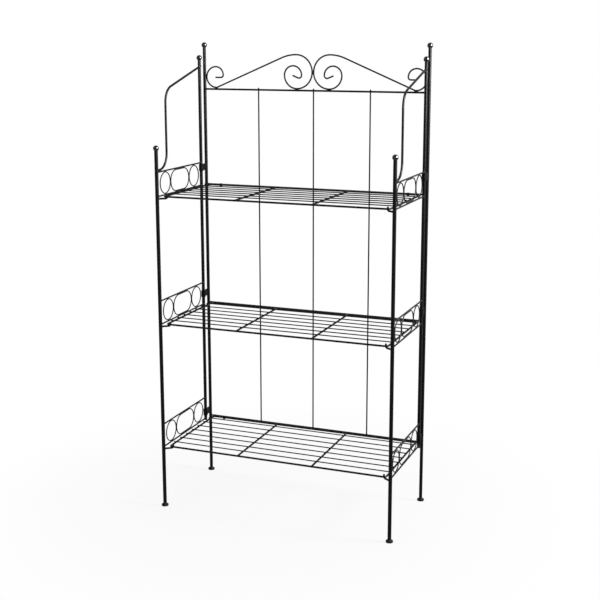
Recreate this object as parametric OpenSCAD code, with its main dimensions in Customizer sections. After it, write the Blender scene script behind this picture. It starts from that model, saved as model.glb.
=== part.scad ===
// Folding bakers rack of welded steel rod and tube.
// A back frame carries a scrolled top. A side frame stands at each end of it,
// hinged on three clips. Three slatted shelves turn on the back frame's rails
// and drop onto hooks at the front posts.
// Millimetres, +Z up, +Y towards the back. The origin is on the floor, under
// the middle of the four feet.

/* [Footprint] */
// Distance between the centres of the left and right posts
frame_w = 752; // [660:2:860]
// Distance between the centres of the front and back posts
frame_d = 340; // [300:2:360]
// Distance between the centres of a back post and the side post before it
hinge_gap = 38; // [32:1:48]

/* [Heights] */
// Height of the lowest shelf's rail
first_shelf_z = 198; // [160:1:260]
// Height from one shelf's rail to the next
shelf_pitch = 400; // [390:1:440]
// Height of the back frame's top rail over the highest shelf
top_rail_rise = 310; // [290:1:340]
// Height of the back posts' balls over the top rail
back_ball_rise = 140; // [120:1:180]
// How far the side posts' balls stay below the back posts' balls
side_ball_drop = 40; // [25:1:60]
// Height of the front posts' balls over the highest shelf
front_ball_rise = 147; // [110:1:180]

/* [Posts] */
// Outer diameter of the front posts
front_post_d = 11.5; // [10:0.5:14]
// Outer diameter of the back posts and side posts
rear_post_d = 10.5; // [9:0.5:12]
// Wall of the posts' tube
tube_wall = 1.2; // [0.8:0.1:1.6]
// Diameter of the ball finials
ball_d = 18; // [16:0.5:24]
// Diameter of the feet
foot_d = 22; // [18:1:30]
// Height of the feet
foot_h = 5.5; // [4:0.5:8]

/* [Rods] */
// Diameter of the rails, the shelf rims and the hooks
rail_d = 6; // [4:0.5:7]
// Diameter of the gallery bars
gallery_bar_d = 5; // [3:0.5:6]
// Diameter of the scroll rods
scroll_d = 5; // [3:0.5:6]
// Diameter of the upright rods in the back frame
back_rod_d = 4.5; // [3:0.5:5]
// Diameter of the bent braces
brace_d = 7; // [5:0.5:8]
// Diameter of the gallery rings' wire
ring_d = 3.5; // [2:0.5:4]
// Diameter of the shelf slats
slat_d = 3.5; // [2:0.5:4]

/* [Galleries] */
// Height between a gallery's two bars
gallery_h = 74; // [64:1:84]
// Distance from a post to the gallery ring next to it
ring_gap = 14; // [10:1:22]

/* [Scrolls] */
// Radii of the outer scroll's turns, from the weld on the top rail inwards
outer_turns = [10, 33.5, 32.5, 26, 8];
// Radii of the centre spiral's turns, from the sloping rod inwards
centre_turns = [125, 54, 51.5, 42, 29, 29, 9];
// Length of the straight end of each scroll
scroll_tail = 19; // [10:1:24]

/* [Braces] */
// Slope of a brace below the level, in degrees
brace_slope = 15.3; // [10:0.1:20]
// How far a brace's hole stays below the side post's ball
brace_drop = 28; // [24:1:48]
// Distance from the front post to the brace's upright stretch
brace_setback = 67; // [55:1:80]
// Radius of the brace's upper bend
brace_bend = 50; // [35:1:60]
// Radius of the brace's lower bend
brace_foot_bend = 47; // [30:1:50]

/* [Shelves] */
// Distance from a post's centre to the shelf's side rail
shelf_side_gap = 17; // [16:0.5:24]
// Distance from a post's centre line to the shelf's front and rear rails
shelf_end_gap = 10; // [9:0.5:12]
// Radius of the shelf's corners
shelf_corner_r = 10; // [8:0.5:12]
// Number of slats in a shelf
slat_count = 7; // [5:1:9]
// Distance from the shelf's front and rear rails to the first slats
slat_margin = 34; // [28:1:40]
// Distance from the middle of the shelf to its cross bars
cross_bar_x = 123; // [90:1:160]

/* [Fits] */
// Radial clearance of a rod that turns or passes in a hole
running_gap = 0.06; // [0.02:0.01:0.1]
// Gap that the weld metal fills between two touching rods
weld_gap = 0.05; // [0.02:0.01:0.1]

/* [Hidden] */
$fn = 48;
overlap = 1;
hairline = 0.02;
core_share = 0.8;

// Posts and their planes
post_x = frame_w / 2;
back_y = frame_d / 2;
front_y = -frame_d / 2;
side_y = back_y - hinge_gap;
front_r = front_post_d / 2;
rear_r = rear_post_d / 2;
rail_r = rail_d / 2;
gallery_bar_r = gallery_bar_d / 2;
scroll_r = scroll_d / 2;

// Heights
shelf_levels = [for (i = [0:2]) first_shelf_z + i * shelf_pitch];
top_shelf_z = shelf_levels[2];
top_rail_z = top_shelf_z + top_rail_rise;
back_ball_z = top_rail_z + back_ball_rise;
side_ball_z = back_ball_z - side_ball_drop;
front_ball_z = top_shelf_z + front_ball_rise;
side_post_over = 2.5;
side_post_foot_z = first_shelf_z - rail_r - weld_gap - side_post_over;
brace_hole_z = side_ball_z - brace_drop;
plug_l = 12;

// Shelves: the rear rail is the hinge's axis
shelf_x = post_x - shelf_side_gap;
shelf_front_y = front_y + shelf_end_gap;
shelf_rear_y = back_y - shelf_end_gap;
slat_pitch = (shelf_rear_y - shelf_front_y - 2 * slat_margin) / (slat_count - 1);
slat_rise = rail_r + weld_gap + slat_d / 2;

// Eyes that hold the shelves' rear rails
eye_inset = 40;
eye_w = 6;
eye_wall = 2.4;
eye_neck_h = 4;

// Hooks that carry the shelves' front corners: each tip stands equally far
// inside the shelf's side rail and front rail
hook_inset = 8.2;
hook_x = shelf_side_gap + hook_inset;
hook_y = shelf_end_gap + hook_inset;
hook_reach = sqrt(hook_x * hook_x + hook_y * hook_y);
hook_turn = atan2(hook_x, hook_y);
hook_bend = 6;
hook_gap = 0.3;
hook_drop = rail_d + hook_gap;
hook_tip_rise = 5;

// Clips that hold the side posts, each at its own height over the shelf's rail
clip_rises = [22, 36, 58];
clip_h = 22;
clip_wall = 2;
clip_web = 3;
clip_r = rear_r + running_gap + clip_wall;

// Gallery rings stand in a row between the posts: a round one at each end
// and a long one that fills the middle
ring_h = gallery_h - gallery_bar_d - 2 * weld_gap;
ring_row_start = front_y + front_r + ring_gap;
ring_row_end = side_y - rear_r - ring_gap;
mid_ring_w = ring_row_end - ring_row_start - 2 * ring_h - 2 * weld_gap;

// Back frame rods
back_rod_step = frame_w / 4;
back_rod_y = back_y + rail_r + weld_gap + back_rod_d / 2;
back_rod_over = 3;

// Scroll rod: the sloping stretch is the tangent between the two weld points'
// turns, so both scrolls stay on the rail when the frame's size changes
scroll_z = top_rail_z + rail_r + weld_gap + scroll_r;
outer_weld_x = -post_x + rear_r + weld_gap + scroll_r + outer_turns[1];
spiral_x = -scroll_r - weld_gap - centre_turns[1];
scroll_run = spiral_x - outer_weld_x;
scroll_h = centre_turns[1] + centre_turns[2];
scroll_turns = outer_turns[0] + centre_turns[0];
scroll_fall = scroll_h - scroll_turns;
slope_l = sqrt(scroll_run * scroll_run + scroll_fall * scroll_fall - scroll_turns * scroll_turns);
slope_deg = atan2(scroll_fall, scroll_run) + atan2(scroll_turns, slope_l);

LEVEL_NAMES = ["low", "middle", "high"];

// ---- Rod work ----

// A bent round rod in the XY plane, from the origin along +X. Each step is
// [length, 0] for a straight or [radius, turn] for a bend, where a positive
// turn goes to the left, and carries the steps that follow it. A bend that
// isn't a quarter or half turn stops a hairline short of the next stretch, and
// a core inside the rod runs across, so that the rod stays one solid at any angle.
module bent_rod(d, steps, i = 0) {
    if (i < len(steps)) {
        size = steps[i][0];
        turn = steps[i][1];
        side = sign(turn);
        square_turn = turn % 90 == 0;
        hairline_turn = square_turn ? 0 : asin(hairline / size);
        if (turn == 0) {
            rotate([0, 90, 0])
                cylinder(d = d, h = size);
            translate([size, 0, 0])
                bent_rod(d, steps, i + 1);
        } else {
            mirror([0, side > 0 ? 0 : 1, 0])
                translate([0, size, 0])
                    rotate([0, 0, -90])
                        rotate_extrude(angle = abs(turn) - hairline_turn)
                            translate([size, 0])
                                circle(d = d);
            translate([0, side * size, 0])
                rotate([0, 0, turn])
                    translate([0, -side * size, 0]) {
                        if (!square_turn) {
                            rotate([0, 90, 0])
                                cylinder(d = core_share * d, h = d, center = true);
                        }
                        bent_rod(d, steps, i + 1);
                    }
        }
    }
}

// Turns a path drawn in XY so that its Y runs up, in the plane of the back frame
module in_back_plane(y) {
    translate([0, y, 0])
        rotate([90, 0, 0])
            children();
}

// Turns a path drawn in XY so that its X runs back and its Y up
module in_side_plane(x) {
    translate([x, 0, 0])
        rotate([90, 0, 90])
            children();
}

module mirror_side(side) {
    if (side > 0) {
        mirror([1, 0, 0])
            children();
    } else {
        children();
    }
}

module rod_along_x(d, x0, x1, y, z) {
    translate([x0, y, z])
        rotate([0, 90, 0])
            cylinder(d = d, h = x1 - x0);
}

module rod_along_y(d, y0, y1, x, z) {
    translate([x, y0, z])
        rotate([-90, 0, 0])
            cylinder(d = d, h = y1 - y0);
}

// The room that a post takes, used to cope the rods that are welded to it
module post_room(d, x, y) {
    translate([x, y, 0])
        cylinder(d = d, h = back_ball_z);
}

// ---- Posts, balls and feet ----

module tube(d, z0, z1, x, y) {
    translate([x, y, 0])
        difference() {
            translate([0, 0, z0])
                cylinder(d = d, h = z1 - z0);
            translate([0, 0, z0 - overlap])
                cylinder(d = d - 2 * tube_wall, h = z1 - z0 + 2 * overlap);
        }
}

// Where a tube's rim meets the flat under its ball, below the ball's centre
function ball_seat(d) = sqrt(ball_d * ball_d - d * d) / 2;

// Ball finial with a flat that sits on the tube's rim and a plug inside it
module ball(d, x, y, z) {
    color("black")
        translate([x, y, z])
            rotate_extrude() {
                intersection() {
                    circle(d = ball_d);
                    translate([0, -ball_seat(d)])
                        square([ball_d, ball_d + ball_seat(d)]);
                }
                translate([0, -ball_seat(d) - plug_l])
                    square([d / 2 - tube_wall - running_gap, plug_l + overlap]);
            }
}

// Foot disc under a tube's end, with a plug inside the tube
module foot(d, x, y) {
    edge_r = 1.5;
    color("black")
        translate([x, y, 0])
            rotate_extrude() {
                square([foot_d / 2, foot_h - edge_r]);
                square([foot_d / 2 - edge_r, foot_h]);
                translate([foot_d / 2 - edge_r, foot_h - edge_r])
                    circle(r = edge_r);
                translate([0, foot_h - overlap])
                    square([d / 2 - tube_wall - running_gap, plug_l + overlap]);
            }
}

module back_post(side) {
    color("black")
        tube(rear_post_d, foot_h, back_ball_z - ball_seat(rear_post_d), side * post_x, back_y);
}

// Side post, drilled where the brace runs through it
module side_post(side) {
    color("black")
        difference() {
            tube(rear_post_d, side_post_foot_z, side_ball_z - ball_seat(rear_post_d),
                side * post_x, side_y);
            translate([side * post_x, side_y, brace_hole_z])
                rotate([brace_slope, 0, 0])
                    rotate([90, 0, 0])
                        cylinder(d = brace_d + 2 * running_gap, h = 2 * rear_post_d, center = true);
        }
}

module front_post(side) {
    color("black")
        tube(front_post_d, foot_h, front_ball_z - ball_seat(front_post_d), side * post_x, front_y);
}

// ---- Back frame ----

module back_rail(z) {
    color("black")
        difference() {
            rod_along_x(rail_d, -post_x, post_x, back_y, z);
            post_room(rear_post_d, -post_x, back_y);
            post_room(rear_post_d, post_x, back_y);
        }
}

module back_rod(x) {
    color("black")
        translate([x, back_rod_y, first_shelf_z - rail_r])
            cylinder(d = back_rod_d, h = top_rail_z + rail_d + back_rod_over - first_shelf_z);
}

// One rod, bent to an outer scroll, a sloping stretch and a centre spiral
module scroll(side) {
    color("black")
        mirror_side(side)
            in_back_plane(back_y)
                translate([outer_weld_x, scroll_z, 0]) {
                    bent_rod(scroll_d, [
                        [outer_turns[0], slope_deg],
                        [slope_l, 0],
                        [centre_turns[0], -slope_deg],
                        [centre_turns[1], -90],
                        [centre_turns[2], -90],
                        [centre_turns[3], -90],
                        [centre_turns[4], -90],
                        [centre_turns[5], -90],
                        [centre_turns[6], -112.5],
                        [scroll_tail, 0]
                    ]);
                    mirror([1, 0, 0])
                        bent_rod(scroll_d, [
                            [outer_turns[1], 90],
                            [outer_turns[2], 90],
                            [outer_turns[3], 90],
                            [outer_turns[4], 90],
                            [scroll_tail, 0]
                        ]);
                }
}

// Clip welded to a back post, with an eye round the side post
module hinge_clip(side, z) {
    color("black")
        translate([side * post_x, 0, z - clip_h / 2])
            difference() {
                union() {
                    translate([0, side_y, 0])
                        cylinder(r = clip_r, h = clip_h);
                    translate([-clip_web / 2, side_y, 0])
                        cube([clip_web, hinge_gap, clip_h]);
                }
                translate([0, side_y, -overlap])
                    cylinder(r = rear_r + running_gap, h = clip_h + 2 * overlap);
                translate([0, back_y, -overlap])
                    cylinder(r = rear_r, h = clip_h + 2 * overlap);
            }
}

// Two eyes on a back rail, in which the shelf's rear rail turns
module shelf_eyes(z) {
    color("black")
        for (x = [eye_inset - shelf_x, shelf_x - eye_inset]) {
            difference() {
                union() {
                    rod_along_x(rail_d + 2 * running_gap + 2 * eye_wall,
                        x - eye_w / 2, x + eye_w / 2, shelf_rear_y, z);
                    translate([x - eye_w / 2, shelf_rear_y, z - eye_neck_h / 2])
                        cube([eye_w, shelf_end_gap, eye_neck_h]);
                }
                rod_along_x(rail_d + 2 * running_gap, x - eye_w, x + eye_w, shelf_rear_y, z);
                rod_along_x(rail_d, x - eye_w, x + eye_w, back_y, z);
            }
        }
}

// ---- Side frames ----

module gallery_bars(side, z) {
    color("black")
        for (bar_z = [z, z + gallery_h]) {
            difference() {
                rod_along_y(gallery_bar_d, front_y, side_y, side * post_x, bar_z);
                post_room(front_post_d, side * post_x, front_y);
                post_room(rear_post_d, side * post_x, side_y);
            }
        }
}

// Three wire rings in the side plane: a round one at each end of the row and
// one with half-round ends between them
module gallery_rings(side, z) {
    bend = (ring_h - ring_d) / 2;
    straight = mid_ring_w - ring_h;
    color("black")
        in_side_plane(side * post_x)
            translate([0, z + gallery_h / 2, 0]) {
                for (y = [ring_row_start + ring_h / 2, ring_row_end - ring_h / 2]) {
                    translate([y, 0, 0])
                        rotate_extrude()
                            translate([bend, 0])
                                circle(d = ring_d);
                }
                translate([ring_row_start + ring_h + weld_gap + ring_h / 2, -bend, 0])
                    bent_rod(ring_d, [
                        [straight, 0],
                        [bend, 180],
                        [straight, 0],
                        [bend, 180]
                    ]);
            }
}

// Brace: runs through the side post, slopes forwards, bends down and ends
// against the front post, on the highest gallery's upper bar
module brace(side) {
    behind = 9;
    upright_y = front_y + brace_setback;
    foot_z = top_shelf_z + gallery_h + gallery_bar_r + weld_gap + brace_d / 2;
    bend_turn = 90 - brace_slope;
    bend_reach = brace_bend * tan(bend_turn / 2);
    corner_drop = (side_y - upright_y) * tan(brace_slope);
    slope_run = (side_y - upright_y) / cos(brace_slope) - bend_reach;
    upright_l = brace_hole_z - corner_drop - bend_reach - foot_z - brace_foot_bend;
    foot_run = brace_setback - brace_foot_bend;
    color("black")
        difference() {
            in_side_plane(side * post_x)
                translate([side_y, brace_hole_z, 0])
                    rotate([0, 0, 180 + brace_slope])
                        translate([-behind, 0, 0])
                            bent_rod(brace_d, [
                                [behind + slope_run, 0],
                                [brace_bend, bend_turn],
                                [upright_l, 0],
                                [brace_foot_bend, -90],
                                [foot_run, 0]
                            ]);
            post_room(front_post_d, side * post_x, front_y);
        }
}

// Hooks on the front post, turned up inside the shelves' front corners
module hooks(side) {
    color("black")
        for (z = shelf_levels) {
            difference() {
                translate([side * post_x, front_y, z - hook_drop])
                    rotate([0, 0, 90 + side * hook_turn])
                        rotate([90, 0, 0])
                            bent_rod(rail_d, [
                                [hook_reach - hook_bend, 0],
                                [hook_bend, 90],
                                [hook_drop + hook_tip_rise - hook_bend, 0]
                            ]);
                post_room(front_post_d, side * post_x, front_y);
            }
        }
}

// ---- Shelves ----

// The rim is one rod, bent at the corners. Its rear side is the hinge's pin.
module shelf_rim(z) {
    run_x = 2 * (shelf_x - shelf_corner_r);
    run_y = shelf_rear_y - shelf_front_y - 2 * shelf_corner_r;
    color("black")
        translate([shelf_corner_r - shelf_x, shelf_rear_y, z])
            bent_rod(rail_d, [
                [run_x, 0],
                [shelf_corner_r, -90],
                [run_y, 0],
                [shelf_corner_r, -90],
                [run_x, 0],
                [shelf_corner_r, -90],
                [run_y, 0],
                [shelf_corner_r, -90]
            ]);
}

module shelf_cross_bars(z) {
    color("black")
        for (x = [-cross_bar_x, cross_bar_x]) {
            difference() {
                rod_along_y(rail_d, shelf_front_y, shelf_rear_y, x, z);
                rod_along_x(rail_d, x - rail_d, x + rail_d, shelf_front_y, z);
                rod_along_x(rail_d, x - rail_d, x + rail_d, shelf_rear_y, z);
            }
        }
}

module shelf_slats(z) {
    end_setback = 0.5;
    slat_end = shelf_x + rail_r - end_setback;
    color("black")
        for (i = [0:slat_count - 1]) {
            rod_along_x(slat_d, -slat_end, slat_end,
                shelf_front_y + slat_margin + i * slat_pitch, z + slat_rise);
        }
}

// ---- Assembly ----

back_post(-1);  // back_post_left
back_post(1);  // back_post_right
back_rail(top_rail_z);  // top_rail
for (i = [0:2]) {
    back_rail(shelf_levels[i]);
}
back_rod(-back_rod_step);  // back_rod_left
back_rod(0);  // back_rod_centre
back_rod(back_rod_step);  // back_rod_right
scroll(-1);  // scroll_left
scroll(1);  // scroll_right

for (end = [["left", -1], ["right", 1]]) {
    name = end[0];
    side = end[1];
    x = side * post_x;
    ball(rear_post_d, x, back_y, back_ball_z);
    ball(rear_post_d, x, side_y, side_ball_z);
    ball(front_post_d, x, front_y, front_ball_z);
    foot(rear_post_d, x, back_y);
    foot(front_post_d, x, front_y);
    side_post(side);
    front_post(side);
    brace(side);
    hooks(side);
    for (i = [0:2]) {
        place = str(LEVEL_NAMES[i], "_", name);
        z = shelf_levels[i];
        hinge_clip(side, z + clip_rises[i]);
        gallery_bars(side, z);
        gallery_rings(side, z);
    }
}

for (i = [0:2]) {
    level = LEVEL_NAMES[i];
    z = shelf_levels[i];
    shelf_eyes(z);
    shelf_rim(z);
    shelf_cross_bars(z);
    shelf_slats(z);
}
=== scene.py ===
import functools
import math

import bpy
import numpy as np
from bpy.props import FloatProperty, FloatVectorProperty, PointerProperty
from mathutils import Matrix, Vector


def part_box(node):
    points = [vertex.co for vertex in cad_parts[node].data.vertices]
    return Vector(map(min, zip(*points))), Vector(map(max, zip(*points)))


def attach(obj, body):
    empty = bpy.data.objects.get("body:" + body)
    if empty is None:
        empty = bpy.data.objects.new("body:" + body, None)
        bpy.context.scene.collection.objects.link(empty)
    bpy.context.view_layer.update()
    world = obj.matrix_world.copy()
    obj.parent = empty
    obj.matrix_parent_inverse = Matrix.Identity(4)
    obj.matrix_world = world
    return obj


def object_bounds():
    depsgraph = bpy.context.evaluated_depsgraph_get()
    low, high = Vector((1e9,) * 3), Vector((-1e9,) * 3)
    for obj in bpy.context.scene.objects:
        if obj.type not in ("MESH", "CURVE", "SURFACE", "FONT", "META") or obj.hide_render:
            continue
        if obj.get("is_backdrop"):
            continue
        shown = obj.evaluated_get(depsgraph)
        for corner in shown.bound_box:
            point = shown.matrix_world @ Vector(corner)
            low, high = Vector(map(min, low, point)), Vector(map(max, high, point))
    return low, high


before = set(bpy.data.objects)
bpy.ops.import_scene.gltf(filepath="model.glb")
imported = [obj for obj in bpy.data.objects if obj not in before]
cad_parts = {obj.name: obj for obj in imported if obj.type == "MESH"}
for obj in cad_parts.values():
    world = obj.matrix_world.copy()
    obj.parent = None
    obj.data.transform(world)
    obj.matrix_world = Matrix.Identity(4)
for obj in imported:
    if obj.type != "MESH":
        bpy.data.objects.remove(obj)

bl_info = {
    "name": "Folding Bakers Rack",
    "version": (1, 0, 0),
    "blender": (4, 5, 0),
    "location": "View3D > Sidebar > Rack",
    "description": "Welds, rod ends, coat and studio for a folding bakers rack",
    "category": "Object",
}

CAD_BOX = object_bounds()

MM = 0.001
HALF = 0.5
QUARTER_TURN = math.pi / 2
FULL_TURN = 2 * math.pi
LEVELS = ("low", "middle", "high")
RAILS = ("top_rail", *(f"back_rail_{level}" for level in LEVELS))
BACK_RODS = tuple(f"back_rod_{place}" for place in ("left", "centre", "right"))
SIDES = {"left": -1, "right": 1}
ACROSS = np.array((1.0, 0.0, 0.0))
BACK = np.array((0.0, 1.0, 0.0))
UP = np.array((0.0, 0.0, 1.0))

# Values of the rack that its boxes don't tell. A bend is a radius and an angle.
BRACE_SLOPE = math.radians(15.3)
SLATS = 7
EYE_WIDTH = 6 * MM
EYE_NECK = 4 * MM
CLIP_WEB = 3 * MM
OUTER_BENDS = [(33.5 * MM, 90), (32.5 * MM, 90), (26 * MM, 90), (8 * MM, 90)]
CENTRE_BENDS = [(42 * MM, 90), (29 * MM, 90), (29 * MM, 90), (9 * MM, 112.5)]
CENTRE_LOWER_TURN = 51.5 * MM
SCROLL_TAIL = 19 * MM

# Places of welds: a long ring's tacks from its middle, the bead at a brace's foot
# from the post's axis, and a web's beads from the post's face
MIDDLE_RING_TACK = 16 * MM
BRACE_FOOT_BEAD = 13 * MM
WEB_BEAD_OUT = 0.2 * MM

# Half sizes of beads: across and thick, after a length that can be set
GROOVE_BEAD = (1.9 * MM, 1.5 * MM)
BRACE_BEAD = (2.2 * MM, 1.6 * MM)
ROD_TACK = (1.9 * MM, 1.0 * MM)
SLAT_TACK = (1.7 * MM, 0.9 * MM)

# Half sizes of beads: along, across and thick
WEB_BEAD = (10 * MM, 1.2 * MM, 1.2 * MM)
EYE_BEAD = (3 * MM, 1.0 * MM, 0.9 * MM)
RING_TACK = (4.0 * MM, 1.5 * MM, 1.1 * MM)
RING_SIDE_TACK = (4.2 * MM, 1.35 * MM, 1.1 * MM)

# Collars of weld metal: how deep they reach under the surfaces, their pinch where
# rods of one size meet, and their lumps, as waves round the rod and shares of size
COLLAR_SINK = 0.3 * MM
TEE_PINCH = 0.75
COLLAR_LUMPS = ((3, 0.10), (7, 0.07), (12, 0.04))

# Beads of weld metal: how their sizes vary, how far the cosine of their ripples
# turns in a row of points, and how far they are out of round
BEAD_SIZES = (0.92, 1.1)
RIPPLE_TURN = 1.6
OUT_OF_ROUND = 0.05
WELD_SEED = 11

# Profiles of turned ends: steps over a dome in degrees, its rim and where it starts
# inside the rod, in radii; steps of a shoulder, its share of the post's radius
# inside, and its depth in radii
DOME_STEPS = (0, 20, 42, 66)
DOME_RIM = 0.995
DOME_START = (0.96, -0.2)
SHOULDER_STEPS = 9
SHOULDER_INSIDE = 0.97
SHOULDER_DEPTH = 0.05

# Noises of the enamel and of the feet's plastic, in waves a metre, and how many
# waves of grain there are to one of peel
CLOUD_WAVES = 11
DRIFT_WAVES = 70
FLECK_WAVES = 260
LUMP_WAVES = 900
GRAIN_TO_PEEL = 4
PLASTIC_CLOUD_WAVES = 60
SCUFF_WAVES = 340
PLASTIC_GRAIN_WAVES = 2600

# Where the noises turn into dust, flecks and scuffs, from none to all
DUST_FACING = (0.45, 0.95)
DUST_BREAKS = (0.38, 0.72)
CLOUD_BREAKS = (0.35, 0.68)
FLECK_SIZES = (0.10, 0.02)
SCUFF_BREAKS = (0.5, 0.7)
SCUFF_HEIGHTS = (3.5 * MM, 0.3 * MM)

# What the noises add to the enamel's roughness, and to its relief beside the peel
CLOUD_ROUGH, DRIFT_ROUGH, GRAIN_ROUGH, DUST_ROUGH = 0.10, 0.06, 0.05, 0.35
GRAIN_RELIEF, DRIFT_RELIEF, FLECK_RELIEF = 0.12, 0.5, 0.35

# The plastic's own roughness and what its grain and scuffs add, the depth of its
# relief and the scuffs' share in it, and the share of dust in a scuff's colour
PLASTIC_ROUGH, PLASTIC_GRAIN_ROUGH, WORN_ROUGH = 0.52, 0.2, 0.2
PLASTIC_RELIEF = 0.03 * MM
SCUFF_RELIEF = 0.4
SCUFF_DUST = 0.5

# The fittings' share of the coat's shine, and white
FITTING_SHINE = 0.6
WHITE = (1, 1, 1, 1)

# Camera: its sensor's width in millimetres, and how far it sees
SENSOR_WIDTH = 36
SIGHT_LIMIT = 500

# Lamps: place, what they shine at, and width and height
KEY_LAMP = {"place": (3.3, 0.55, 3.2), "target": (0, 0, 0.75), "size": (1.0, 1.0)}
FILL_LAMP = {"place": (-1.6, -3.7, 2.1), "target": (0, 0, 0.75), "size": (0.8, 0.8)}
PANEL = {"place": (2.6, -0.3, 2.4), "target": (0.4, 0.2, 2.4), "size": (1.6, 2.4)}

# Floor: how far it lies under the feet, the distances from the rack's middle
# between which it turns white, its share of plain white at each, and the waves a
# metre and second colour of its mottle
FLOOR_DROP = 0.2 * MM
FLOOR_SPREAD = (0.3, 1.2)
FLOOR_WHITE = (0.84, 1.0)
FLOOR_WAVES = 3
FLOOR_SECOND_COLOUR = (0.93, 0.93, 0.93)


# ---- Places of the rack's own parts ----


@functools.lru_cache(maxsize=None)
def box(node):
    """Lowest and highest corner of a CAD node at rest, as two arrays."""
    low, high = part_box(node)
    return np.array(low), np.array(high)


def middle(node):
    """Middle of a CAD node's box."""
    low, high = box(node)
    return (low + high) * HALF


def rail_height(level):
    """Height of a shelf level's rails."""
    return middle(f"back_rail_{level}")[2]


def radius(node, axis):
    """Radius of a straight round node, from its box's width along one axis."""
    low, high = box(node)
    return (high[axis] - low[axis]) * HALF


def at(x, y, z):
    """A point as an array."""
    return np.array((x, y, z), float)


def outer_and_inner(node, side):
    """Ends of a node's box across the rack: the outer and the inner one."""
    low, high = box(node)
    return (low[0], high[0]) if side < 0 else (high[0], low[0])


def rod_end(start, heading, bends, tail):
    """End point and heading of a rod bent in one plane, held as complex numbers.

    A bend of radius r through angle t to the right moves the point by
    r (sin t) along the heading and r (1 - cos t) to its right, and turns the
    heading by t. The straight tail comes last."""
    for bend, degrees in bends:
        turn = math.radians(degrees)
        right = -1j * heading
        start = start + bend * (math.sin(turn) * heading + (1 - math.cos(turn)) * right)
        heading = heading * complex(math.cos(turn), -math.sin(turn))
    return start + tail * heading, heading


# ---- Surfaces ----


def band_faces(rows, columns, bands):
    """Quads of so many bands between rings of points. With as many bands as rows,
    the last ring joins the first, like a ring's skin."""
    row, column = np.meshgrid(np.arange(bands), np.arange(columns), indexing="ij")
    across, below = (column + 1) % columns, (row + 1) % rows
    corners = (row * columns + column, row * columns + across,
               below * columns + across, below * columns + column)
    return np.stack(corners, axis=-1).reshape(-1, 4)


def capped_faces(rows, columns):
    """Quads between rings of points, and triangles from the first and last ring
    to the two poles that follow the rings."""
    quads = band_faces(rows, columns, bands=rows - 1)
    ring = np.arange(columns)
    step = (ring + 1) % columns
    last = (rows - 1) * columns
    first_pole = np.full(columns, rows * columns)
    start = np.stack((step, ring, first_pole), axis=-1)
    finish = np.stack((last + ring, last + step, first_pole + 1), axis=-1)
    return quads, np.concatenate((start, finish))


def make_piece(name, batches, material, body):
    """Joins batches of like shapes into one mesh that rides on a CAD body.

    A batch holds points of shape (count, points, 3), quads and triangles. Each
    copy's faces are the first copy's faces plus the points that come before it."""
    points, loops, sizes, before = [], [], [], 0
    for copies, quads, triangles in batches:
        count, each, _ = copies.shape
        shift = before + each * np.arange(count)
        for faces in (quads, triangles):
            if faces is not None:
                loops.append((faces[None] + shift[:, None, None]).ravel())
                sizes.append(np.full(count * len(faces), faces.shape[1]))
        points.append(copies.reshape(-1, 3))
        before += count * each
    points, loops, sizes = map(np.concatenate, (points, loops, sizes))
    mesh = bpy.data.meshes.new(name)
    mesh.vertices.add(len(points))
    mesh.vertices.foreach_set("co", points.astype(np.float32).ravel())
    mesh.loops.add(len(loops))
    mesh.loops.foreach_set("vertex_index", loops.astype(np.int32))
    mesh.polygons.add(len(sizes))
    mesh.polygons.foreach_set("loop_start", (np.cumsum(sizes) - sizes).astype(np.int32))
    mesh.update(calc_edges=True)
    if mesh.validate():
        raise RuntimeError(f"{name} has broken faces")
    mesh.shade_smooth()
    mesh.materials.append(material)
    piece = bpy.data.objects.new(name, mesh)
    bpy.context.scene.collection.objects.link(piece)
    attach(piece, body)


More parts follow.
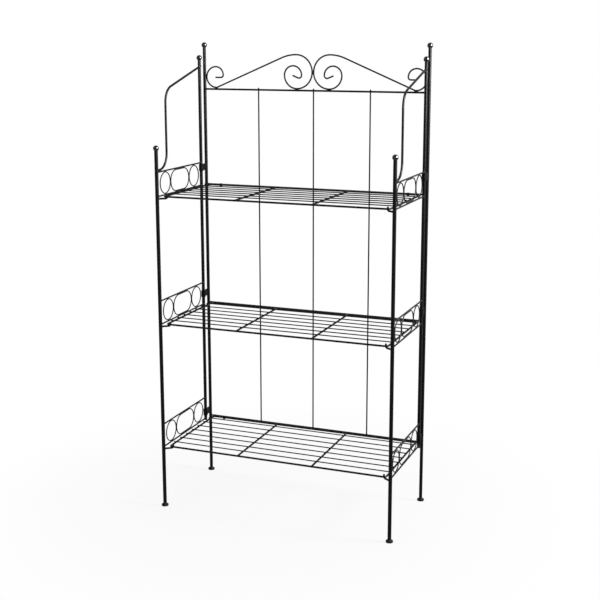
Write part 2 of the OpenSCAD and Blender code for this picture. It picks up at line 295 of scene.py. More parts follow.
def weld_collars(joints, size, pinch=0.0):
    """Fillets of weld metal where rods meet round posts.

    Angle phi runs round the rod's axis. The section starts on the rod, follows
    a hollow quarter circle of the fillet's size out to the post's surface, and
    returns under both surfaces. A point's height is measured from the post's
    round, found by solving |q + h n| = R for h, where q is the point's place
    across the rod and n the rod's direction, both square to the post's axis.
    Pinch thins the fillet at the sides, where rods of one size run into each
    other. A joint holds the crossing point of the two axes, the rod's
    direction, the post's axis, the rod's radius and the post's radius."""
    columns, steps = 28, 7
    origin, rod, post, rod_r, post_r = (
        np.array([joint[i] for joint in joints], float) for i in range(5))
    rod_r, post_r = rod_r[:, None, None], post_r[:, None, None]
    along = post - rod * np.sum(post * rod, axis=1, keepdims=True)
    along /= np.linalg.norm(along, axis=1, keepdims=True)
    square = np.cross(rod, along)
    phi = (np.arange(columns) * FULL_TURN / columns)[None, :, None]
    draw = np.random.default_rng(WELD_SEED)
    phase = draw.uniform(0, FULL_TURN, (len(joints), 1, len(COLLAR_LUMPS)))
    lumps = 1 + sum(share * np.sin(waves * phi + phase[..., i:i + 1])
                    for i, (waves, share) in enumerate(COLLAR_LUMPS))
    fillet = size * lumps * (1 - pinch * np.sin(phi) ** 2)
    sweep = np.linspace(0, QUARTER_TURN, steps)[None, None, :]
    sunk = np.full_like(fillet, -COLLAR_SINK)
    reach = rod_r + np.concatenate((fillet * (1 - np.cos(sweep)), fillet, sunk, sunk),
                                   axis=2)
    lift = np.concatenate((fillet * (1 - np.sin(sweep)), sunk, sunk, fillet), axis=2)
    turn = phi[..., None]
    spoke = np.cos(turn) * along[:, None, None] + np.sin(turn) * square[:, None, None]
    q = reach[..., None] * spoke
    axis = post[:, None, None]
    q_flat = q - axis * np.sum(q * axis, axis=-1, keepdims=True)
    n_flat = (rod - post * np.sum(rod * post, axis=1, keepdims=True))[:, None, None]
    a = np.sum(n_flat * n_flat, axis=-1)
    b = np.sum(q_flat * n_flat, axis=-1)
    c = np.sum(q_flat * q_flat, axis=-1) - post_r ** 2
    height = (np.sqrt(np.maximum(b * b - a * c, 0)) - b) / a + lift
    points = origin[:, None, None] + q + height[..., None] * rod[:, None, None]
    points = points.reshape(len(joints), -1, 3)
    return points, band_faces(columns, reach.shape[2], bands=columns), None


def weld_beads(beads, ripples=0.0, rows=5, columns=8):
    """Beads of weld metal.

    With a from -1 to 1 along the bead, its girth is the square root of 1 - a^4,
    swollen by ripples of a cosine that starts at each bead's own phase. The
    section is an ellipse, a little out of round. A bead holds its middle, its
    direction, the direction across it and its three half sizes: along, across
    and thick."""
    middle_point, along, across, half = (
        np.array([bead[i] for bead in beads], float) for i in range(4))
    thick = np.cross(along, across)
    draw = np.random.default_rng(WELD_SEED)
    half = half * draw.uniform(*BEAD_SIZES, half.shape)
    phase = draw.uniform(0, FULL_TURN, (len(beads), 1, 1))
    a = -np.cos(math.pi * (np.arange(rows) + 1) / (rows + 1))[None, :, None]
    phi = (np.arange(columns) * FULL_TURN / columns)[None, None, :]
    ripple = 1 + ripples * np.cos(RIPPLE_TURN * rows * a + phase)
    oval = 1 + OUT_OF_ROUND * np.sin(2 * phi + phase)
    girth = np.sqrt(1 - a ** 4) * ripple * oval
    part = half[:, None, None, :]
    rings = (part[..., :1] * along[:, None, None] * a[..., None]
             + part[..., 1:2] * across[:, None, None] * (girth * np.cos(phi))[..., None]
             + part[..., 2:] * thick[:, None, None] * (girth * np.sin(phi))[..., None])
    poles = half[:, None, :1] * along[:, None] * np.array((-1.0, 1.0))[None, :, None]
    points = np.concatenate((rings.reshape(len(beads), -1, 3), poles), axis=1)
    quads, triangles = capped_faces(rows, columns)
    return points + middle_point[:, None], quads, triangles


def turned(places, out, rise, poles, columns):
    """Like shapes turned from one profile, each closed by a pole at both ends.

    The profile's points lie out from the axis and rise along it, in radii of
    each copy. A place holds a middle, the axis's direction and a radius."""
    base, axis, scale = (np.array([place[i] for place in places], float)
                         for i in range(3))
    side = np.cross(np.where(np.abs(axis[:, 2:]) > HALF, ACROSS, UP), axis)
    side /= np.linalg.norm(side, axis=1, keepdims=True)
    other = np.cross(axis, side)
    phi = (np.arange(columns) * FULL_TURN / columns)[None, :, None]
    spoke = np.cos(phi) * side[:, None] + np.sin(phi) * other[:, None]
    rings = (out[None, :, None, None] * spoke[:, None]
             + rise[None, :, None, None] * axis[:, None, None])
    tips = np.array(poles)[None, :, None] * axis[:, None]
    shape = np.concatenate((rings.reshape(len(places), -1, 3), tips), axis=1)
    quads, triangles = capped_faces(len(out), columns)
    return base[:, None] + shape * scale[:, None, None], quads, triangles


def rod_domes(ends, crown, columns=16):
    """Rounded ends on cut rods.

    The profile starts inside the rod, rises to the end's rim and closes over it
    on a flat ellipse: at angle t it lies r cos t from the axis and crown r sin t
    above the end. An end holds its middle, the rod's direction and its radius."""
    tilt = np.radians(DOME_STEPS)
    inner, start = DOME_START
    out = np.concatenate(((inner,), DOME_RIM * np.cos(tilt)))
    rise = np.concatenate(((start,), crown * np.sin(tilt)))
    return turned(ends, out, rise, (start, crown), columns)


def foot_shoulders(feet, post_share, height, columns=40):
    """Hollow-sided shoulders from a foot's rim up to the post in it.

    The profile is a quarter of an ellipse: at angle t it lies 1 - (1 - p) sin t
    of the rim's radius from the axis, p being the post's share of that radius,
    and height (1 - cos t) above the disc. A foot holds the disc's middle, up
    and the radius of its flat top."""
    turn = np.linspace(0, QUARTER_TURN, SHOULDER_STEPS)[1:]
    inner, under = post_share * SHOULDER_INSIDE, -SHOULDER_DEPTH
    out = np.concatenate(((inner, 1.0), 1 - (1 - post_share) * np.sin(turn), (inner,)))
    rise = np.concatenate(((under, under), height * (1 - np.cos(turn)), (height,)))
    return turned(feet, out, rise, (under, height), columns)


# ---- Finishes ----


class Shade:
    """A shader value. Operators on it add Math nodes, and make adds any other node."""

    def __init__(self, tree, socket=None):
        self.tree = tree
        self.socket = socket

    def make(self, kind, sockets=None, out=0, stops=None, **settings):
        """Adds a node: its settings and ramp stops first, then the values or
        links of its sockets. The result is the output named by out."""
        node = self.tree.nodes.new("ShaderNode" + kind)
        for name, value in settings.items():
            setattr(node, name, value)
        if stops:
            for element, (place, level) in zip(node.color_ramp.elements, stops):
                element.position = place
                element.color = (level, level, level, 1)
        for name, value in (sockets or {}).items():
            if isinstance(value, Shade):
                self.tree.links.new(value.socket, node.inputs[name])
            else:
                node.inputs[name].default_value = value
        return Shade(self.tree, node.outputs[out] if len(node.outputs) else None)

    def _math(self, operation, first, second):
        """A Math node between two values, of which one may be a plain number."""
        return self.make("Math", {0: first, 1: second}, operation=operation)

    def __add__(self, other):
        return self._math("ADD", self, other)

    __radd__ = __add__

    def __sub__(self, other):
        return self._math("SUBTRACT", self, other)

    def __rsub__(self, other):
        return self._math("SUBTRACT", other, self)

    def __mul__(self, other):
        return self._math("MULTIPLY", self, other)

    __rmul__ = __mul__

    def larger(self, other):
        """The larger of this value and another."""
        return self._math("MAXIMUM", self, other)


def new_material(name):
    """An empty material and the start of its shader maths."""
    material = bpy.data.materials.new(name)
    material.use_nodes = True
    material.node_tree.nodes.clear()
    return material, Shade(material.node_tree)


def mixed(shade, share, first, second):
    """Colour between two colours, by a share from 0 to 1. The node's inputs 6 and
    7 and its output 2 are the ones for colours."""
    return shade.make("Mix", {"Factor": share, 6: first, 7: second}, out=2,
                      data_type="RGBA")


def noise(shade, place, waves, detail, **more):
    """A cloud of noise with so many waves in a metre."""
    return shade.make("TexNoise", {"Vector": place, "Scale": waves, "Detail": detail,
                                   **more})


def broken_up(shade, value, breaks):
    """0 below the first break, 1 above the second, and a ramp between them."""
    return shade.make("ValToRGB", {"Fac": value}, stops=tuple(zip(breaks, (0, 1))))


def mapped(shade, value, span, levels=(0, 1), kind="SMOOTHSTEP"):
    """Where a value lies in a span, as a level from the first to the second."""
    return shade.make("MapRange", {
        "Value": value, "From Min": span[0], "From Max": span[1],
        "To Min": levels[0], "To Max": levels[1]}, interpolation_type=kind)


def painted(name, coat, gloss, texture, dust=1.0, rough_metal=0.0, shine=None):
    """Black stove enamel over steel.

    The colour drifts between the coat's two blacks in clouds a hand wide. Dust
    lies where the skin faces up, broken by a finer cloud, and greys and dulls
    it. Roughness is the coat's, with both clouds, a fine grain and the dust added.
    The skin's bump is orange peel a few millimetres wide, with the finer cloud,
    the grain and small flecks of dust on it, and lumps of raw weld a millimetre
    wide where rough_metal is above 0. Gloss is the share of the coat's roughness,
    and texture the share of its peel. Shine is the specular level, and the coat's
    own where none is given."""
    material, shade = new_material(name)
    place = shade.make("TexCoord", out="Object")
    facing = shade.make("TexCoord", out="Normal")
    upright = shade.make("SeparateXYZ", {0: facing}, out="Z")
    cloud = noise(shade, place, CLOUD_WAVES, detail=3)
    drift = noise(shade, place, DRIFT_WAVES, detail=4, Roughness=0.6)
    peel = noise(shade, place, coat.peel_scale, detail=1.5, Roughness=0.4)
    grain = noise(shade, place, GRAIN_TO_PEEL * coat.peel_scale, detail=2)
    lumps = noise(shade, place, LUMP_WAVES, detail=3)
    broken = broken_up(shade, drift, DUST_BREAKS)
    settled = mapped(shade, upright, DUST_FACING) * broken * (coat.dust * dust)
    flecks = shade.make("TexVoronoi", {"Vector": place, "Scale": FLECK_WAVES,
                                       "Randomness": 1}, out="Distance")
    fleck = mapped(shade, flecks, FLECK_SIZES, kind="LINEAR") * broken
    black = mixed(shade, broken_up(shade, cloud, CLOUD_BREAKS), (*coat.colour, 1),
                  (*coat.second_colour, 1))
    colour = mixed(shade, settled, black, (*coat.dust_colour, 1))
    roughness = (coat.roughness * gloss + (cloud - HALF) * CLOUD_ROUGH
                 + (drift - HALF) * DRIFT_ROUGH + (grain - HALF) * GRAIN_ROUGH
                 + settled * DUST_ROUGH)
    height = (peel * texture + grain * GRAIN_RELIEF + drift * DRIFT_RELIEF
              + fleck * FLECK_RELIEF + lumps * rough_metal)
    bump = shade.make("Bump", {"Height": height, "Distance": coat.peel_height,
                               "Strength": 1.0}, out="Normal")
    surface = shade.make("BsdfPrincipled", {
        "Base Color": colour, "Roughness": roughness, "Normal": bump,
        "Specular IOR Level": coat.shine if shine is None else shine})
    shade.make("OutputMaterial", {"Surface": surface})
    return material


def moulded(name, coat):
    """Matt moulded plastic: two blacks that drift into each other in clouds, a
    fine spark-eroded grain, and scuffs with a little floor dust low on the rim."""
    material, shade = new_material(name)
    place = shade.make("TexCoord", out="Object")
    height_up = shade.make("SeparateXYZ", {0: place}, out="Z")
    cloud = noise(shade, place, PLASTIC_CLOUD_WAVES, detail=4)
    grain = noise(shade, place, PLASTIC_GRAIN_WAVES, detail=3)
    scuffs = noise(shade, place, SCUFF_WAVES, detail=5, Roughness=0.7, Distortion=1.5)
    scuffed = broken_up(shade, scuffs, SCUFF_BREAKS)
    worn = mapped(shade, height_up, SCUFF_HEIGHTS) * scuffed
    plastic = mixed(shade, cloud, (*coat.foot_colour, 1), (*coat.second_colour, 1))
    colour = mixed(shade, worn * SCUFF_DUST, plastic, (*coat.dust_colour, 1))
    roughness = (PLASTIC_ROUGH + (grain - HALF) * PLASTIC_GRAIN_ROUGH
                 + worn * WORN_ROUGH)
    bump = shade.make("Bump", {"Height": grain + scuffed * SCUFF_RELIEF,
                               "Distance": PLASTIC_RELIEF, "Strength": 1.0},
                      out="Normal")
    surface = shade.make("BsdfPrincipled", {
        "Base Color": colour, "Roughness": roughness, "Normal": bump,
        "Specular IOR Level": coat.shine})
    shade.make("OutputMaterial", {"Surface": surface})
    return material


# ---- What a user may change ----


class RackCoat(bpy.types.PropertyGroup):
    """Black enamel of the rack."""

    colour: FloatVectorProperty(
        name="Black", description="Main black of the enamel",
        subtype="COLOR", min=0, max=1, default=(0.0016, 0.0016, 0.0018))
    second_colour: FloatVectorProperty(
        name="Second black", description="Black that the enamel drifts to",
        subtype="COLOR", min=0, max=1, default=(0.0034, 0.0033, 0.0034))
    dust_colour: FloatVectorProperty(
        name="Dust", description="Colour of the dust on surfaces that face up",
        subtype="COLOR", min=0, max=1, default=(0.05, 0.048, 0.044))
    foot_colour: FloatVectorProperty(
        name="Feet", description="Colour of the moulded feet",
        subtype="COLOR", min=0, max=1, default=(0.0045, 0.0045, 0.0046))
    dust: FloatProperty(
        name="Dust amount", description="How much dust lies on the rack",
        subtype="FACTOR", min=0, max=1, default=0.10)
    roughness: FloatProperty(
        name="Roughness", description="Roughness of the clean enamel",
        subtype="FACTOR", min=0.05, max=1, default=0.3)
    shine: FloatProperty(
        name="Shine", description="Specular level of the enamel on rods and posts",
        subtype="FACTOR", min=0, max=1, default=0.06)
    ball_shine: FloatProperty(
        name="Ball shine", description="Specular level of the enamel on the balls",
        subtype="FACTOR", min=0, max=1, default=0.3)
    peel_scale: FloatProperty(
        name="Peel scale", description="Waves of orange peel in a metre",
        min=100, max=1000, default=380)
    peel_height: FloatProperty(
        name="Peel height", description="Depth of the orange peel",
        unit="LENGTH", subtype="DISTANCE", precision=5,
        min=0, max=0.0005, default=0.012 * MM)


class RackWelds(bpy.types.PropertyGroup):
    """Sizes of welds and rod ends."""

    collar: FloatProperty(
        name="Collar", description="Size of the fillet where a rod meets a post",
        unit="LENGTH", subtype="DISTANCE", precision=5,
        min=0.0005, max=0.003, default=1.5 * MM)
    tee: FloatProperty(
        name="Tee", description="Size of the fillet where a cross bar meets the rim",
        unit="LENGTH", subtype="DISTANCE", precision=5,
        min=0.0005, max=0.002, default=1.1 * MM)
    bead: FloatProperty(
        name="Bead", description="Half length of a bead along two rods that touch",
        unit="LENGTH", subtype="DISTANCE", precision=5,
        min=0.002, max=0.012, default=6 * MM)
    tack: FloatProperty(
        name="Tack", description="Half length of a tack where two wires cross",
        unit="LENGTH", subtype="DISTANCE", precision=5,
        min=0.001, max=0.004, default=2.3 * MM)
    shoulder: FloatProperty(
        name="Shoulder", description="Height of a foot's shoulder round the post",
        unit="LENGTH", subtype="DISTANCE", precision=5,
        min=0.001, max=0.008, default=4 * MM)
    foot_round: FloatProperty(
        name="Foot round", description="Width of a foot's rounded rim",
        unit="LENGTH", subtype="DISTANCE", precision=5,
        min=0.0005, max=0.003, default=1.6 * MM)
    crown: FloatProperty(
        name="Crown",
        description="Height of a rod's rounded end, as a share of its radius",
        subtype="FACTOR", min=0.05, max=1, default=0.3)


class RackStage(bpy.types.PropertyGroup):
    """Camera, lamps and floor."""

    camera_place: FloatVectorProperty(
        name="Camera", description="Place of the camera",
        unit="LENGTH", subtype="TRANSLATION", default=(1.3086, -3.2445, 1.4746))
    yaw: FloatProperty(
        name="Yaw", description="Camera's turn to the left of straight back",
        unit="ROTATION", subtype="ANGLE", default=math.radians(21.61))
    pitch: FloatProperty(
        name="Pitch", description="Camera's tilt below the level",
        unit="ROTATION", subtype="ANGLE", default=math.radians(11.62))
    roll: FloatProperty(
        name="Roll", description="Camera's roll about its own axis",
        unit="ROTATION", subtype="ANGLE", default=math.radians(-0.05))
    lens: FloatProperty(
        name="Lens", description="Focal length on a 36 mm sensor, in millimetres",
        min=20, max=200, default=69.17)
    shift: FloatProperty(
        name="Shift", description="Vertical shift of the lens, as a share of the frame",
        min=-0.5, max=0.5, default=-0.044)
    key: FloatProperty(
        name="Key", description="Power of the key lamp in watts",
        min=0, max=500, default=115)
    fill: FloatProperty(
        name="Fill", description="Power of the fill lamp in watts",
        min=0, max=500, default=25)
    panel: FloatProperty(
        name="Panel",
        description="Power in watts of the panel that only shows mirrored",
        min=0, max=3000, default=1250)
    ambient: FloatProperty(
        name="Ambient", description="Strength of the light from all round",
        min=0, max=2, default=0.45)
    floor_size: FloatProperty(
        name="Floor", description="Half length of the floor's sides",
        unit="LENGTH", subtype="DISTANCE", min=5, max=200, default=40)
    floor_colour: FloatVectorProperty(
        name="Floor colour", description="Colour of the pale floor",
        subtype="COLOR", min=0, max=1, default=(0.9, 0.9, 0.9))


# ---- Operators ----


COATED = {
    "posts": ("back_post", "side_post", "front_post"),
    "rods": ("top_rail", "back_rail", "back_rod", "scroll", "brace", "gallery_bars",
             "shelf_rim", "shelf_cross_bars"),
    "wire": ("gallery_rings", "shelf_slats"),
    "fittings": ("clip", "shelf_eyes", "hooks"),
    "balls": ("ball",),
    "feet": ("foot",),
}


def made_once(name, make, *values, **shares):
    """The material of that name, made when first asked for."""
    return bpy.data.materials.get(name) or make(name, *values, **shares)


def weld_material(context):
    """The enamel over weld metal."""
    return made_once("enamel on welds", painted, context.scene.rack_coat, gloss=1.3,
                     texture=0.8, dust=0.6, rough_metal=1.4)


def cut_end_material(context):
    """The enamel over cut rod ends."""
    return made_once("enamel on cut ends", painted, context.scene.rack_coat, gloss=1.15,
                     texture=1.0, dust=0.5, rough_metal=0.4)


def foot_material(context):
    """The plastic of the feet."""
    return made_once("moulded feet", moulded, context.scene.rack_coat)


class RACK_OT_coat(bpy.types.Operator):
    """Give every part of the frame its finish"""

    bl_idname = "rack.coat"
    bl_label = "Coat the metal"

    def execute(self, context):
        """Each kind of part has its own share of gloss, peel and dust."""
        coat = context.scene.rack_coat
        finishes = {
            "posts": painted("enamel on posts", coat, gloss=1.0, texture=1.0, dust=0.4),
            "rods": painted("enamel on rods", coat, gloss=1.05, texture=0.8),
            "wire": painted("enamel on wire", coat, gloss=1.15, texture=0.6),
            "fittings": painted("enamel on fittings", coat, gloss=1.2, texture=1.2,
                                dust=0.5, rough_metal=0.3,
                                shine=FITTING_SHINE * coat.shine),
            "balls": painted("enamel on balls", coat, gloss=0.3, texture=0.4, dust=0.5,
                             shine=coat.ball_shine),
            "feet": foot_material(context),
        }
        kinds = {stem: kind for kind, stems in COATED.items() for stem in stems}
        for name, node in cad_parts.items():
            stem = max((s for s in kinds if name.startswith(s)), key=len, default=None)
            if stem is None:
                raise RuntimeError(f"no finish is named for {name}")
            node.data.materials.clear()
            node.data.materials.append(finishes[kinds[stem]])
        return {"FINISHED"}


def brace_hole(end, side_y):
    """Middle of the hole that a brace runs through, the brace's rear end and its
    direction. The end's disc leans by the brace's slope, so its middle lies
    r sin s before the box's rear and r cos s under its top."""
    rod_r = radius(f"brace_{end}", 0)
    _, high = box(f"brace_{end}")
    rearward = at(0, math.cos(BRACE_SLOPE), math.sin(BRACE_SLOPE))
    tip = at(middle(f"brace_{end}")[0], high[1] - rod_r * math.sin(BRACE_SLOPE),
             high[2] - rod_r * math.cos(BRACE_SLOPE))
    hole = tip - rearward * (tip[1] - side_y) / rearward[1]
    return hole, tip, rearward, rod_r


def hook_places(end):
    """For each level: where a hook's axis meets its post's, and the hook's tip,
    with its direction away from the post and its radius."""
    side = SIDES[end]
    post = middle(f"front_post_{end}")
    low, high = box(f"hooks_{end}")
    rod_r = radius("top_rail", 2)
    _, inner_x = outer_and_inner(f"hooks_{end}", side)
    tip = at(inner_x + side * rod_r, high[1] - rod_r, high[2])
    inward = at(tip[0] - post[0], tip[1] - post[1], 0)
    inward /= np.linalg.norm(inward)
    places = []
    for level in LEVELS:
        over_low = UP * (rail_height(level) - rail_height("low"))
        under_high = UP * (rail_height(level) - rail_height("high"))
        root = at(post[0], post[1], low[2] + rod_r) + over_low
        places.append((root, tip + under_high, inward, rod_r))
    return places


def slat_places(level):
    """How far back each slat of a shelf lies."""
    low, high = box(f"shelf_slats_{level}")
    slat_r = radius(f"shelf_slats_{level}", 2)
    return np.linspace(low[1] + slat_r, high[1] - slat_r, SLATS)


class RACK_OT_collars(bpy.types.Operator):
    """Weld the rods to the posts of the three frames"""

    bl_idname = "rack.collars"
    bl_label = "Weld rods to posts"

    def execute(self, context):
        """A collar of weld metal stands round each rod where it meets a post."""
        size = context.scene.rack_welds.collar
        metal = weld_material(context)
        back = []
        for end, side in SIDES.items():
            post = middle(f"back_post_{end}")
            post_r = radius(f"back_post_{end}", 0)
            for rail in RAILS:
                point = at(post[0], post[1], middle(rail)[2])
                back.append((point, -side * ACROSS, UP, radius(rail, 2), post_r))
        make_piece("welds_back_frame_posts", [weld_collars(back, size)], metal,
                   "frame")
        for end in SIDES:
            front, rear = middle(f"front_post_{end}"), middle(f"side_post_{end}")
            front_r = radius(f"front_post_{end}", 0)
            rear_r = radius(f"side_post_{end}", 0)
            joints = []
            for level in LEVELS:
                bar_r = radius(f"gallery_bars_{level}_{end}", 0)
                low, high = box(f"gallery_bars_{level}_{end}")
                for z in (low[2] + bar_r, high[2] - bar_r):
                    joints.append((at(front[0], front[1], z), BACK, UP, bar_r, front_r))
                    joints.append((at(rear[0], rear[1], z), -BACK, UP, bar_r, rear_r))
            for root, _, inward, rod_r in hook_places(end):
                joints.append((root, inward, UP, rod_r, front_r))
            hole, _, rearward, brace_r = brace_hole(end, rear[1])
            joints.append((hole, rearward, UP, brace_r, rear_r))
            joints.append((hole, -rearward, UP, brace_r, rear_r))
            foot = at(front[0], front[1], box(f"brace_{end}")[0][2] + brace_r)
            joints.append((foot, BACK, UP, brace_r, front_r))
            make_piece(f"welds_side_frame_{end}_posts", [weld_collars(joints, size)],
                       metal, "frame")
        return {"FINISHED"}


class RACK_OT_frame_beads(bpy.types.Operator):
    """Weld together the rods of the frames that touch"""

    bl_idname = "rack.frame_beads"
    bl_label = "Weld touching rods"

    def execute(self, context):
        """Beads fill the grooves between rods that lie side by side, and tacks
        sit where rods cross."""
        welds = context.scene.rack_welds
        metal = weld_material(context)
        rail_r, scroll_r = radius("top_rail", 2), radius("scroll_left", 1)
        groove = (welds.bead, *GROOVE_BEAD)
        long_beads, tacks, webs = [], [], []
        rail_y = middle("top_rail")[1]
        for end, side in SIDES.items():
            outer, inner = outer_and_inner(f"scroll_{end}", side)
            low, _ = box(f"scroll_{end}")
            base = low[2] + scroll_r
            first_bend = OUTER_BENDS[0][0]
            for x in (outer - side * (scroll_r + first_bend),
                      inner + side * (scroll_r + CENTRE_LOWER_TURN)):
                long_beads.append((at(x, rail_y, low[2]), ACROSS, BACK, groove))
            long_beads.append((at(outer, rail_y, base + first_bend), UP, BACK, groove))
        long_beads.append((at(0, rail_y, base + CENTRE_LOWER_TURN), UP, BACK, groove))
        for rod in BACK_RODS:
            front_y = box(rod)[0][1]
            for rail in RAILS:
                tacks.append((at(middle(rod)[0], front_y, middle(rail)[2]), UP, ACROSS,
                              (welds.tack, *ROD_TACK)))
        for end in SIDES:
            post = middle(f"back_post_{end}")
            front_face = post[1] - radius(f"back_post_{end}", 0)
            for level in LEVELS:
                clip_z = middle(f"clip_{level}_{end}")[2]
                for x in (post[0] - CLIP_WEB * HALF, post[0] + CLIP_WEB * HALF):
                    webs.append((at(x, front_face - WEB_BEAD_OUT, clip_z), UP, ACROSS,
                                 WEB_BEAD))
        for level in LEVELS:
            eye_x = box(f"shelf_eyes_{level}")[1][0] - EYE_WIDTH * HALF
            neck_y = middle(f"back_rail_{level}")[1] - rail_r
            for x in (-eye_x, eye_x):
                for rise in (-EYE_NECK * HALF, EYE_NECK * HALF):
                    point = at(x, neck_y, rail_height(level) + rise)
                    tacks.append((point, ACROSS, BACK, EYE_BEAD))
        make_piece("welds_back_frame_rods", [
            weld_beads(long_beads, ripples=0.10, rows=11, columns=12),
            weld_beads(tacks), weld_beads(webs, ripples=0.12, rows=15)],
            metal, "frame")
        for end in SIDES:
            self.side_frame(end, welds, metal)
        return {"FINISHED"}

    def side_frame(self, end, welds, metal):
        """Tacks of the gallery rings and the bead under the brace's foot."""
        tacks = []
        front = middle(f"front_post_{end}")
        for level in LEVELS:
            low, high = box(f"gallery_rings_{level}_{end}")
            x, centre, z = middle(f"gallery_rings_{level}_{end}")
            ring = high[2] - low[2]
            for y in (low[1] + ring * HALF, centre - MIDDLE_RING_TACK,
                      centre + MIDDLE_RING_TACK, high[1] - ring * HALF):
                for edge in (low[2], high[2]):
                    tacks.append((at(x, y, edge), BACK, ACROSS, RING_TACK))
            for y in (low[1] + ring, high[1] - ring):
                tacks.append((at(x, y, z), UP, ACROSS, RING_SIDE_TACK))
        foot_z = box(f"brace_{end}")[0][2]
        under_foot = at(front[0], front[1] + BRACE_FOOT_BEAD, foot_z)
        bead = (under_foot, BACK, ACROSS, (welds.bead, *BRACE_BEAD))
        make_piece(f"welds_side_frame_{end}_rods", [
            weld_beads(tacks, ripples=0.06, rows=7, columns=10),
            weld_beads([bead], ripples=0.10, rows=11, columns=12)],
            metal, "frame")


class RACK_OT_shelf_welds(bpy.types.Operator):
    """Weld the slats and cross bars of the shelves"""

    bl_idname = "rack.shelf_welds"
    bl_label = "Weld the shelves"

    def execute(self, context):
        """A tack sits under each slat where it crosses a rod, and a pinched
        collar stands round each end of a cross bar."""
        welds = context.scene.rack_welds
        metal = weld_material(context)
        for level in LEVELS:
            rim_low, rim_high = box(f"shelf_rim_{level}")
            rod_r = radius(f"shelf_rim_{level}", 2)
            z = middle(f"shelf_rim_{level}")[2]
            bar_x = box(f"shelf_cross_bars_{level}")[1][0] - rod_r
            rods = (rim_low[0] + rod_r, -bar_x, bar_x, rim_high[0] - rod_r)
            slats_low, _ = box(f"shelf_slats_{level}")
            tacks = [(at(x, y, slats_low[2]), ACROSS, BACK, (welds.tack, *SLAT_TACK))
                     for x in rods for y in slat_places(level)]
            tees = []
            for x in (-bar_x, bar_x):
                for y, way in ((rim_low[1] + rod_r, 1), (rim_high[1] - rod_r, -1)):
                    tees.append((at(x, y, z), way * BACK, ACROSS, rod_r, rod_r))
            make_piece(f"welds_shelf_{level}", [
                weld_beads(tacks), weld_collars(tees, welds.tee, TEE_PINCH)],
                metal, f"shelf_{level}")
        return {"FINISHED"}


class RACK_OT_rod_ends(bpy.types.Operator):
    """Round the cut ends of rods"""

    bl_idname = "rack.rod_ends"
    bl_label = "Round the rod ends"

    def execute(self, context):
        """Hooks, scrolls, back rods, braces and slats end in low domes."""
        crown = context.scene.rack_welds.crown
        metal = cut_end_material(context)
        back, scroll_r = [], radius("scroll_left", 1)
        for rod in BACK_RODS:
            low, high = box(rod)
            x, y, _ = middle(rod)
            back.append((at(x, y, high[2]), UP, radius(rod, 0)))
            back.append((at(x, y, low[2]), -UP, radius(rod, 0)))
        rail_y = middle("top_rail")[1]
        low, high = box("scroll_left")
        base = low[2] + scroll_r
        outer_x = low[0] + scroll_r + OUTER_BENDS[0][0]
        centre_x = high[0] - scroll_r - CENTRE_LOWER_TURN
        for start_x, bends in ((outer_x, OUTER_BENDS), (centre_x, CENTRE_BENDS)):
            end, heading = rod_end(complex(start_x, base), -1, bends, SCROLL_TAIL)
            for side in SIDES.values():
                back.append((at(-side * end.real, rail_y, end.imag),
                             at(-side * heading.real, 0, heading.imag), scroll_r))
        make_piece("rod_ends_back_frame", [rod_domes(back, crown)], metal,
                   "frame")
        for name in SIDES:
            side_y = middle(f"side_post_{name}")[1]
            _, tip, rearward, brace_r = brace_hole(name, side_y)
            ends = [(tip, rearward, brace_r)]
            for _, hook_tip, _, rod_r in hook_places(name):
                ends.append((hook_tip, UP, rod_r))
            make_piece(f"rod_ends_side_frame_{name}", [rod_domes(ends, crown)], metal,
                       "frame")
        for level in LEVELS:
            slats = f"shelf_slats_{level}"
            low, high = box(slats)
            ends = [(at(x, y, middle(slats)[2]), side * ACROSS, radius(slats, 2))
                    for x, side in ((low[0], -1), (high[0], 1))
                    for y in slat_places(level)]
            make_piece(f"slat_ends_{level}", [rod_domes(ends, crown, columns=10)],
                       metal, f"shelf_{level}")
        return {"FINISHED"}


class RACK_OT_shoulders(bpy.types.Operator):
    """Lead the feet up to the posts"""

    bl_idname = "rack.shoulders"
    bl_label = "Shape the feet"

    def execute(self, context):
        """A hollow shoulder of the feet's plastic rises round each post."""
        welds = context.scene.rack_welds
        for row in ("back", "front"):
            for end in SIDES:
                foot, post = f"foot_{row}_{end}", f"{row}_post_{end}"
                rim = radius(foot, 0) - welds.foot_round
                x, y, _ = middle(foot)
                place = (at(x, y, box(post)[0][2]), UP, rim)
                shape = foot_shoulders([place], radius(post, 0) / rim,
                                       welds.shoulder / rim)
                make_piece(f"foot_shoulder_{row}_{end}", [shape],
                           foot_material(context), "frame")
        return {"FINISHED"}


def camera_pose(stage):
    """The camera's pose: it looks along (-sin yaw cos pitch, cos yaw cos pitch,
    -sin pitch), and its right and up turn about that line by the roll."""
    sin_y, cos_y = math.sin(stage.yaw), math.cos(stage.yaw)
    sin_p, cos_p = math.sin(stage.pitch), math.cos(stage.pitch)
    sin_r, cos_r = math.sin(stage.roll), math.cos(stage.roll)
    sight = at(-sin_y * cos_p, cos_y * cos_p, -sin_p)
    level_right = at(cos_y, sin_y, 0)
    level_up = np.cross(level_right, sight)
    right = level_right * cos_r + level_up * sin_r
    up = level_up * cos_r - level_right * sin_r
    pose = np.eye(4)
    pose[:3] = np.stack((right, up, -sight, np.array(stage.camera_place)), axis=1)
    return Matrix(pose.tolist())


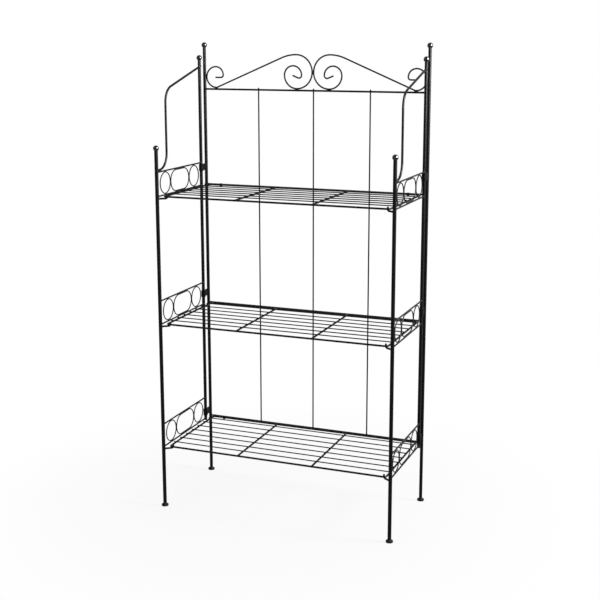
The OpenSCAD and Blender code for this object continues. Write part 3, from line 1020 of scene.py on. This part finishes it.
def add_lamp(name, place, target, size, watts):
    """A flat lamp at a place, turned to shine at a target and out of sight of the
    camera. Its size is its width and its height."""
    lamp = bpy.data.lights.new(name, "AREA")
    lamp.shape = "RECTANGLE"
    lamp.size, lamp.size_y = size
    lamp.energy = watts
    holder = bpy.data.objects.new(name, lamp)
    bpy.context.scene.collection.objects.link(holder)
    holder.visible_camera = False
    away = np.array(place, float) - np.array(target, float)
    away /= np.linalg.norm(away)
    right = np.cross(UP, away)
    right /= np.linalg.norm(right)
    pose = np.eye(4)
    pose[:3] = np.stack((right, np.cross(away, right), away, np.array(place)), axis=1)
    holder.matrix_world = Matrix(pose.tolist())
    return holder


def seen_directly(shade):
    """1 for rays that show the backdrop: camera, glossy and transmission rays."""
    rays = (shade.make("LightPath", out=ray)
            for ray in ("Is Camera Ray", "Is Glossy Ray", "Is Transmission Ray"))
    return functools.reduce(Shade.larger, rays)


class RACK_OT_stage(bpy.types.Operator):
    """Set up the camera, the lamps, the white surround and the floor"""

    bl_idname = "rack.stage"
    bl_label = "Set the stage"

    def execute(self, context):
        """The floor is pale and keeps the shadow near the rack, and turns into
        the white surround further out. The panel is seen only in what mirrors
        it, as a glint on each ball and a pale line down the top of the posts,
        and adds light to no colour."""
        scene, stage = context.scene, context.scene.rack_stage
        camera = bpy.data.objects.new("camera", bpy.data.cameras.new("camera"))
        scene.collection.objects.link(camera)
        camera.matrix_world = camera_pose(stage)
        camera.data.sensor_width = SENSOR_WIDTH
        camera.data.lens = stage.lens
        camera.data.shift_y = stage.shift
        camera.data.clip_end = SIGHT_LIMIT
        scene.camera = camera
        scene.view_settings.view_transform = "Standard"
        add_lamp("key lamp", watts=stage.key, **KEY_LAMP)
        add_lamp("fill lamp", watts=stage.fill, **FILL_LAMP)
        panel = add_lamp("mirrored panel", watts=stage.panel, **PANEL)
        panel.visible_diffuse = False
        self.surround(scene, stage)
        self.floor(scene, stage)
        return {"FINISHED"}

    def surround(self, scene, stage):
        """White where it is seen or mirrored, and softer as a source of light."""
        world = bpy.data.worlds.new("white surround")
        world.use_nodes = True
        world.node_tree.nodes.clear()
        shade = Shade(world.node_tree)
        light = shade.make("Background", {"Color": WHITE, "Strength": stage.ambient})
        white = shade.make("Background", {"Color": WHITE, "Strength": 1.0})
        both = shade.make("MixShader", {0: seen_directly(shade), 1: light, 2: white})
        shade.make("OutputWorld", {"Surface": both})
        scene.world = world

    def floor(self, scene, stage):
        """A square on the ground. Its share of plain white grows with the
        distance from the rack, from most of it to all of it."""
        signs = np.array(((-1, -1, 0), (1, -1, 0), (1, 1, 0), (-1, 1, 0)), float)
        corners = signs * stage.floor_size - UP * FLOOR_DROP
        mesh = bpy.data.meshes.new("floor")
        mesh.from_pydata(corners.tolist(), [], [(0, 1, 2, 3)])
        material, shade = new_material("pale floor")
        place = shade.make("TexCoord", out="Object")
        reach = shade.make("VectorMath", {0: place}, out="Value", operation="LENGTH")
        spread = mapped(shade, reach, FLOOR_SPREAD, FLOOR_WHITE)
        mottle = noise(shade, place, FLOOR_WAVES, detail=4)
        pale = mixed(shade, mottle, (*stage.floor_colour, 1), (*FLOOR_SECOND_COLOUR, 1))
        matt = shade.make("BsdfDiffuse", {"Color": pale})
        white = shade.make("Emission", {"Color": WHITE, "Strength": 1.0})
        both = shade.make("MixShader", {0: spread * seen_directly(shade), 1: matt,
                                        2: white})
        shade.make("OutputMaterial", {"Surface": both})
        mesh.materials.append(material)
        floor = bpy.data.objects.new("floor", mesh)
        scene.collection.objects.link(floor)
        floor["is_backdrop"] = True


OPERATORS = (RACK_OT_coat, RACK_OT_collars, RACK_OT_frame_beads, RACK_OT_shelf_welds,
             RACK_OT_rod_ends, RACK_OT_shoulders, RACK_OT_stage)


class RACK_PT_panel(bpy.types.Panel):
    """Sizes, colours and steps of the rack"""

    bl_idname = "RACK_PT_panel"
    bl_label = "Bakers Rack"
    bl_space_type = "VIEW_3D"
    bl_region_type = "UI"
    bl_category = "Rack"

    def draw(self, context):
        """Lists the values of each group, then a button for each step."""
        for group in (context.scene.rack_coat, context.scene.rack_welds,
                      context.scene.rack_stage):
            column = self.layout.box().column()
            for name in group.__annotations__:
                column.prop(group, name)
        for operator in OPERATORS:
            self.layout.operator(operator.bl_idname)


GROUPS = {"rack_coat": RackCoat, "rack_welds": RackWelds, "rack_stage": RackStage}
CLASSES = (*GROUPS.values(), *OPERATORS, RACK_PT_panel)


def register():
    """Adds the classes and hangs the value groups on the scene."""
    for cls in CLASSES:
        bpy.utils.register_class(cls)
    for name, group in GROUPS.items():
        setattr(bpy.types.Scene, name, PointerProperty(type=group))


def unregister():
    """Takes the value groups and the classes away."""
    for name in GROUPS:
        delattr(bpy.types.Scene, name)
    for cls in reversed(CLASSES):
        bpy.utils.unregister_class(cls)


def main():
    """Registers the add-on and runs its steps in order."""
    register()
    for operator in OPERATORS:
        family, step = operator.bl_idname.split(".")
        getattr(getattr(bpy.ops, family), step)()
    bpy.context.view_layer.update()
    boxes = {"cad": CAD_BOX, "visual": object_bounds()}
    ({name: [list(corner) for corner in pair]
               for name, pair in boxes.items()})


if __name__ == "__main__":
    main()
